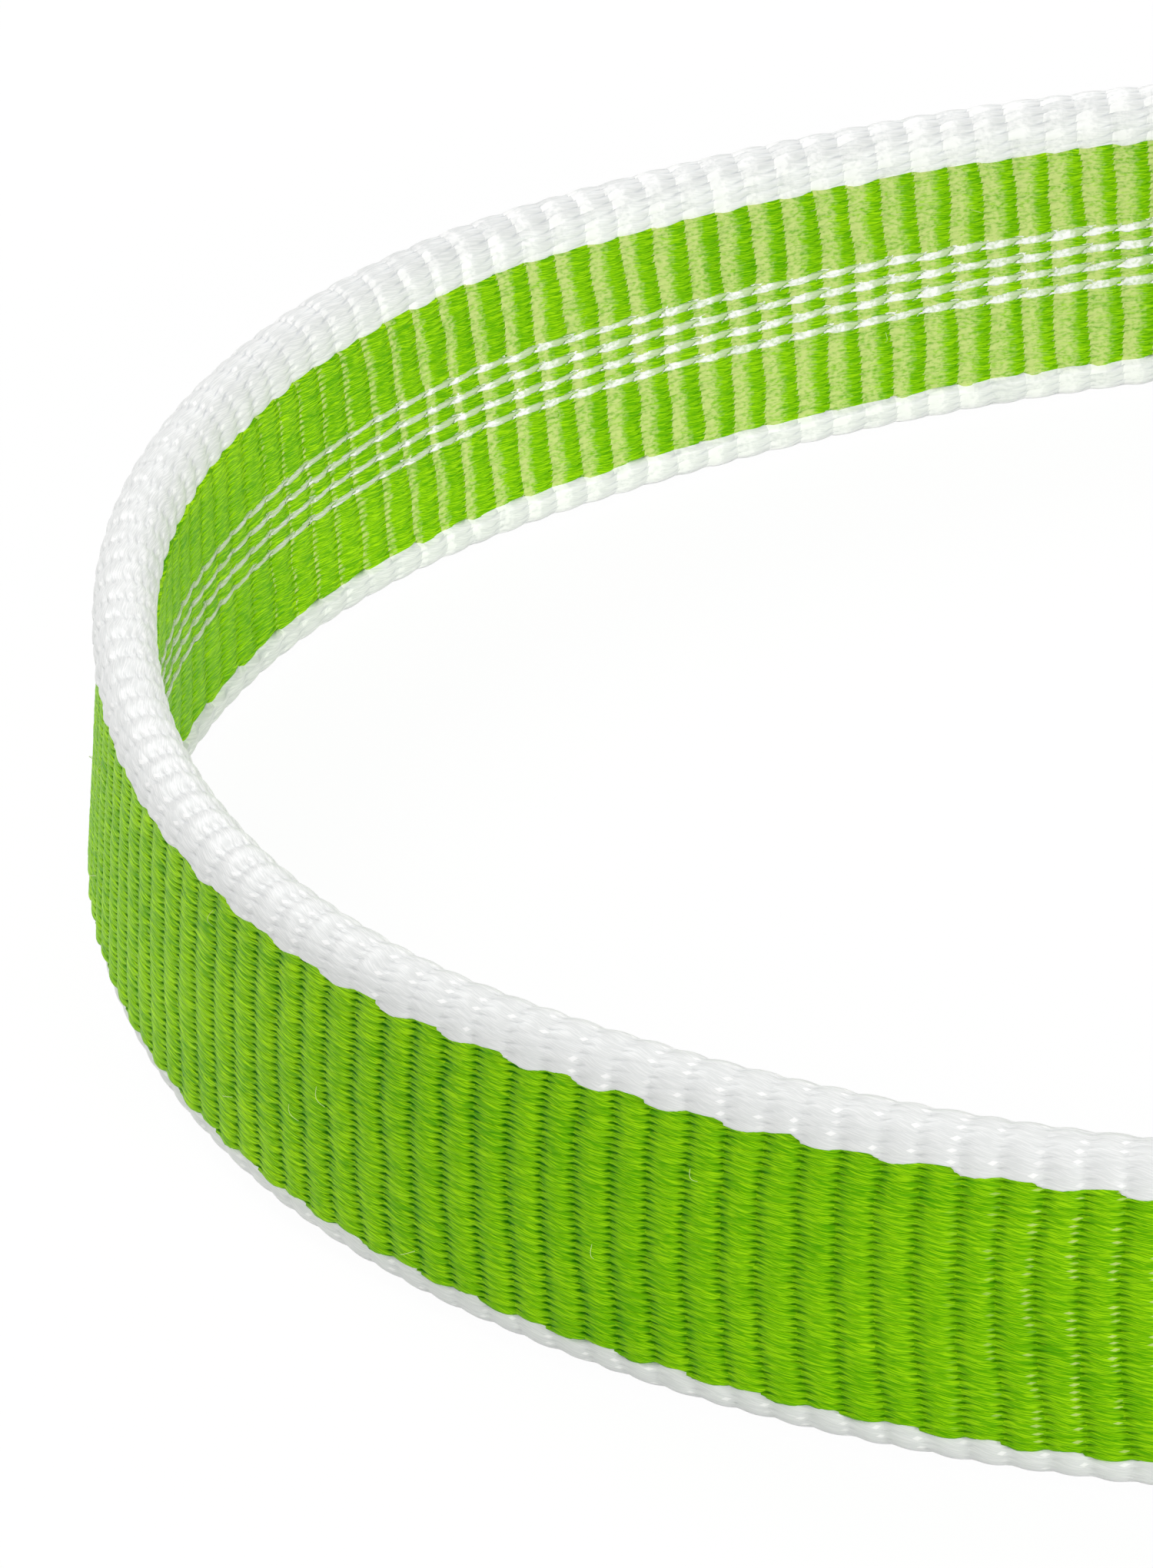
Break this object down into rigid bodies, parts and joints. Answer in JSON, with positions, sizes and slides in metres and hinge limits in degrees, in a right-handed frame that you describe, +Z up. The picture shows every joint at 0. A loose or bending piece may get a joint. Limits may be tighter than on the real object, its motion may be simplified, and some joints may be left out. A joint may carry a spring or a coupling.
{
  "type": "sewn webbing sling",
  "caption": "Short sewn climbing sling: a closed loop of flat green webbing with white rolled edges and white tracer threads on its inner face, standing on its lower edge.",
  "frame": {"origin": "middle of the loop's footprint, on the surface that it stands on", "axes": "+X along the loop towards its wide bend, -Y out through the side with the lap, +Z up across the webbing"},
  "size_m": [0.2544, 0.1004, 0.0158],
  "materials": {
    "face_yarn": "satin lime-green yarn, woven in raised cross ribs",
    "edge_yarn": "bright white yarn, woven round as a rolled edge",
    "filler_yarn": "plain white cord, hidden in the rolled edges",
    "tracer_yarn": "single white yarns woven into the inner face",
    "sewing_thread": "white bonded sewing thread in dense satin stitches"
  },
  "bodies": {
    "root": {"outer_layer": "face_yarn", "inner_layer": "face_yarn", "upper_edge": "edge_yarn", "lower_edge": "edge_yarn", "upper_filler": "filler_yarn", "lower_filler": "filler_yarn", "tracer_thread_1": "tracer_yarn", "tracer_thread_2": "tracer_yarn", "tracer_thread_3": "tracer_yarn", "tracer_thread_4": "tracer_yarn", "bar_tack_1": "sewing_thread", "bar_tack_2": "sewing_thread", "bar_tack_3": "sewing_thread", "bar_tack_4": "sewing_thread", "bar_tack_5": "sewing_thread"}
  },
  "joints": []
}
